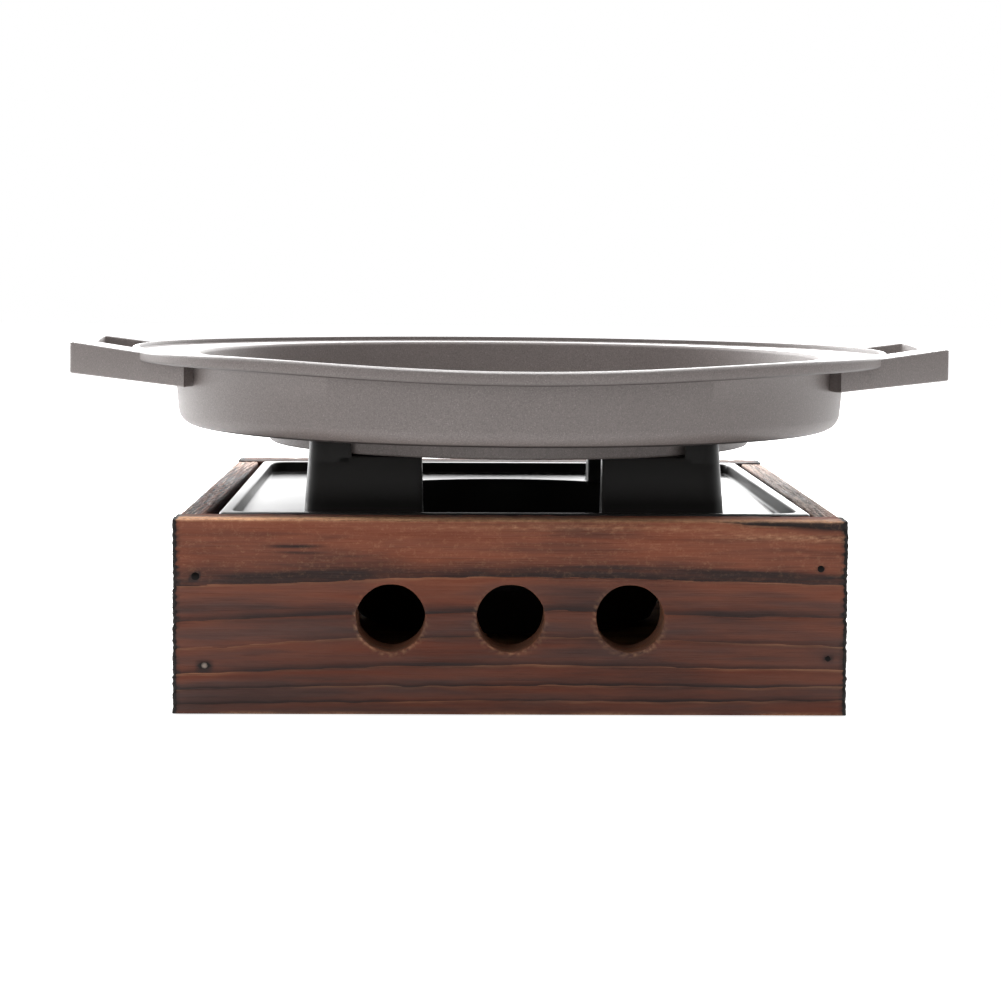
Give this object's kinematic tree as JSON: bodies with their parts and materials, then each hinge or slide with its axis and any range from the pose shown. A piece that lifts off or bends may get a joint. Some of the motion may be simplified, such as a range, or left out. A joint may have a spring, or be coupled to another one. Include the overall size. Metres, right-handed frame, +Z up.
{
  "type": "table-top charcoal grill",
  "caption": "Scorched wooden box with round air holes, carrying a black cast stove tray with corner posts, a lift-out fire bowl and grate, and a round grey cast pan with loop handles.",
  "frame": {"origin": "on the table, below the middle of the pan and of the whole object", "axes": "+X to the right along the handles, +Y away from the front board, +Z up"},
  "size_m": [0.2933, 0.24, 0.1074],
  "materials": {
    "scorched_wood": "reddish brown softwood, scorched and brushed, matte",
    "plain_wood": "plain planed softwood, matte",
    "nail_steel": "plain steel wire nails, dulled",
    "black_cast_iron": "black semi-gloss coating on cast iron",
    "bare_cast_iron": "bare dark cast iron, matte",
    "grey_cast_iron": "warm grey fine-grained matte coating on cast iron"
  },
  "bodies": {
    "box": {"front_board": "scorched_wood", "back_board": "scorched_wood", "left_board": "scorched_wood", "right_board": "scorched_wood", "left_cleat": "plain_wood", "right_cleat": "plain_wood", "base_panel": "plain_wood", "corner_nail_01": "nail_steel", "corner_nail_02": "nail_steel", "corner_nail_03": "nail_steel", "corner_nail_04": "nail_steel", "corner_nail_05": "nail_steel", "corner_nail_06": "nail_steel", "corner_nail_07": "nail_steel", "corner_nail_08": "nail_steel", "cleat_nail_01": "nail_steel", "cleat_nail_02": "nail_steel", "cleat_nail_03": "nail_steel", "cleat_nail_04": "nail_steel"},
    "stove": {"stove_tray": "black_cast_iron"},
    "bowl": {"fire_bowl": "black_cast_iron"},
    "grate": {"charcoal_grate": "bare_cast_iron"},
    "pan": {"grill_pan": "grey_cast_iron"}
  },
  "joints": [
    {"name": "stove_lift", "type": "slide", "parent": "box", "child": "stove", "axis": [0, 0, 1], "range_m": [0, 0.15]},
    {"name": "pan_lift", "type": "slide", "parent": "stove", "child": "pan", "axis": [0, 0, 1], "range_m": [0, 0.15]},
    {"name": "bowl_lift", "type": "slide", "parent": "stove", "child": "bowl", "axis": [0, 0, 1], "range_m": [0, 0.02]},
    {"name": "grate_lift", "type": "slide", "parent": "bowl", "child": "grate", "axis": [0, 0, 1], "range_m": [0, 0.016]}
  ]
}
